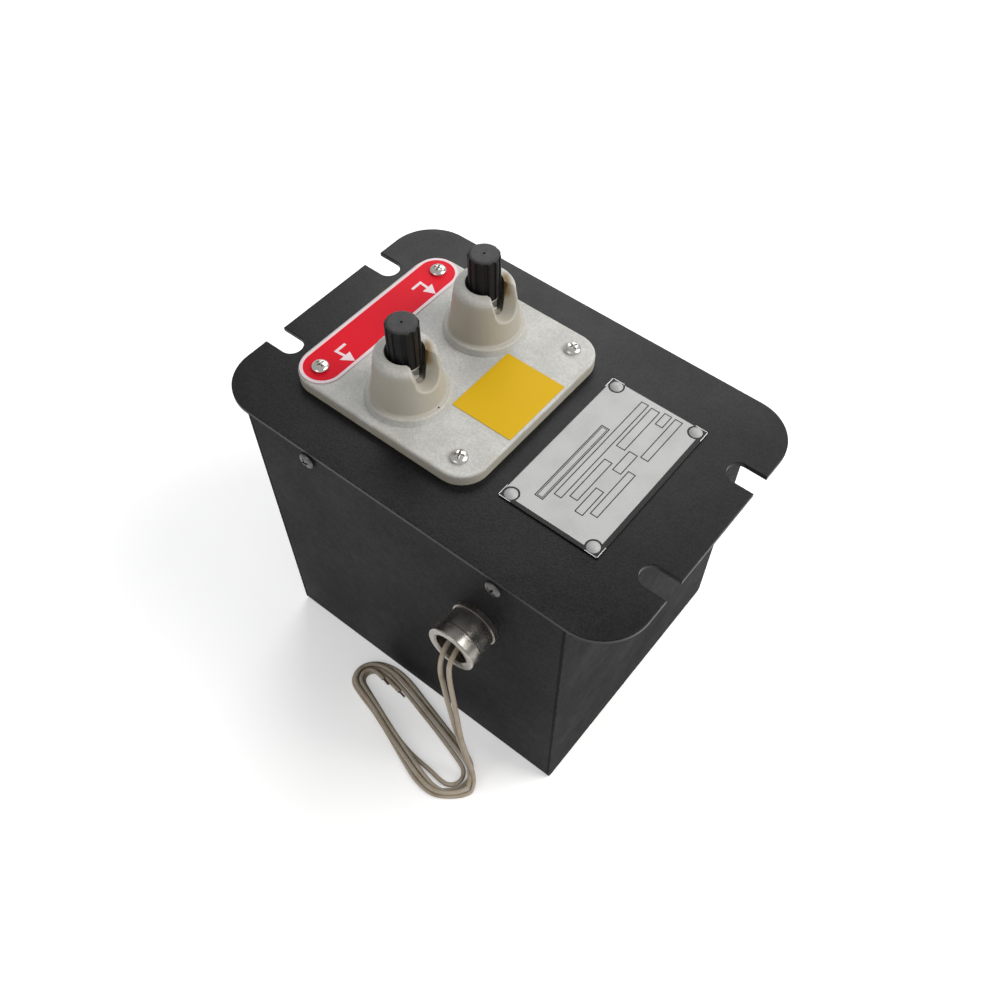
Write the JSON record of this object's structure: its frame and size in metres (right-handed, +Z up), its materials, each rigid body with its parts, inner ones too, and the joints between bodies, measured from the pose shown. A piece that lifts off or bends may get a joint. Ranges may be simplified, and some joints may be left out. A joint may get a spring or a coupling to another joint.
{
  "type": "ignition transformer",
  "caption": "Burner ignition transformer in a painted steel case under a slotted cover plate, with high-tension screw terminals on a moulded board and free supply leads.",
  "frame": {"origin": "centre of the case's flat underside", "axes": "+X along the cover plate from the terminal board to the nameplate, -Y out of the wall with the conduit nipple, +Z up out of the cover plate"},
  "size_m": [0.21, 0.1854, 0.2005],
  "materials": {
    "case_paint": "charcoal powder coat, fine texture",
    "case_screw_paint": "charcoal paint over steel",
    "board_moulding": "off-white moulding, satin",
    "screw_steel": "zinc plated",
    "label_red": "printed film",
    "sticker_yellow": "printed film",
    "nameplate_metal": "printed, satin",
    "rivet_metal": "plain",
    "stud_brass": "turned",
    "nut_steel": "dull zinc",
    "washer_steel": "bright zinc",
    "knob_moulding": "black moulding, satin",
    "nipple_steel": "bright plated, turned",
    "bush_fibre": "dark brown fibre",
    "lead_sleeving": "woven glass-fibre sleeving",
    "core_steel": "stacked laminations",
    "former_board": "pressed board",
    "winding_copper": "varnished and taped winding",
    "clamp_steel": "plain",
    "wire_insulation": "insulated wire",
    "filling_pitch": "black filling compound"
  },
  "bodies": {
    "transformer": {"board_screws": "screw_steel", "board_sticker": "sticker_yellow", "case_wrap": "case_paint", "centre_tap_link": "wire_insulation", "clamp_bars": "clamp_steel", "conduit_nipple": "nipple_steel", "core_bolts": "clamp_steel", "core_e_stack": "core_steel", "core_feet": "clamp_steel", "core_i_stack": "core_steel", "core_nuts": "clamp_steel", "cover_plate": "case_paint", "cover_screws": "case_screw_paint", "earth_strap": "clamp_steel", "end_panel_left": "case_paint", "end_panel_right": "case_paint", "filling": "filling_pitch", "front_high_tension_wire": "wire_insulation", "front_rail": "case_paint", "front_stud_washers": "washer_steel", "front_terminal_nuts": "nut_steel", "front_terminal_stud": "stud_brass", "lead_bush": "bush_fibre", "left_lead": "lead_sleeving", "left_lead_coil": "lead_sleeving", "left_secondary_former": "former_board", "left_secondary_winding": "winding_copper", "magnetic_shunts": "core_steel", "nameplate": "nameplate_metal", "nameplate_rivets": "rivet_metal", "nipple_lock_nut": "nipple_steel", "primary_former": "former_board", "primary_tails": "wire_insulation", "primary_winding": "winding_copper", "rear_high_tension_wire": "wire_insulation", "rear_rail": "case_paint", "rear_stud_washers": "washer_steel", "rear_terminal_nuts": "nut_steel", "rear_terminal_stud": "stud_brass", "right_lead": "lead_sleeving", "right_lead_coil": "lead_sleeving", "right_secondary_former": "former_board", "right_secondary_winding": "winding_copper", "terminal_board": "board_moulding", "voltage_label": "label_red"},
    "front_washer": {"front_clamp_washer": "washer_steel"},
    "front_knob": {"front_terminal_knob": "knob_moulding", "front_knob_insert": "stud_brass"},
    "rear_washer": {"rear_clamp_washer": "washer_steel"},
    "rear_knob": {"rear_terminal_knob": "knob_moulding", "rear_knob_insert": "stud_brass"}
  },
  "joints": [
    {"name": "front_knob_lift", "type": "slide", "parent": "transformer", "child": "front_washer", "axis": [0, 0, 1], "range_m": [0, 0.00405]},
    {"name": "front_knob_turn", "type": "hinge", "parent": "front_washer", "child": "front_knob", "pos_m": [-0.033, -0.0238, 0.19], "axis": [0, 0, 1], "range_deg": [0, 1440]},
    {"name": "rear_knob_lift", "type": "slide", "parent": "transformer", "child": "rear_washer", "axis": [0, 0, 1], "range_m": [0, 0.00405]},
    {"name": "rear_knob_turn", "type": "hinge", "parent": "rear_washer", "child": "rear_knob", "pos_m": [-0.033, 0.0262, 0.19], "axis": [0, 0, 1], "range_deg": [0, 1440]}
  ],
  "couplings": [
    {"joint": "front_knob_lift", "follows": "front_knob_turn", "m_per_rad": 0.00015915},
    {"joint": "rear_knob_lift", "follows": "rear_knob_turn", "m_per_rad": 0.00015915}
  ]
}
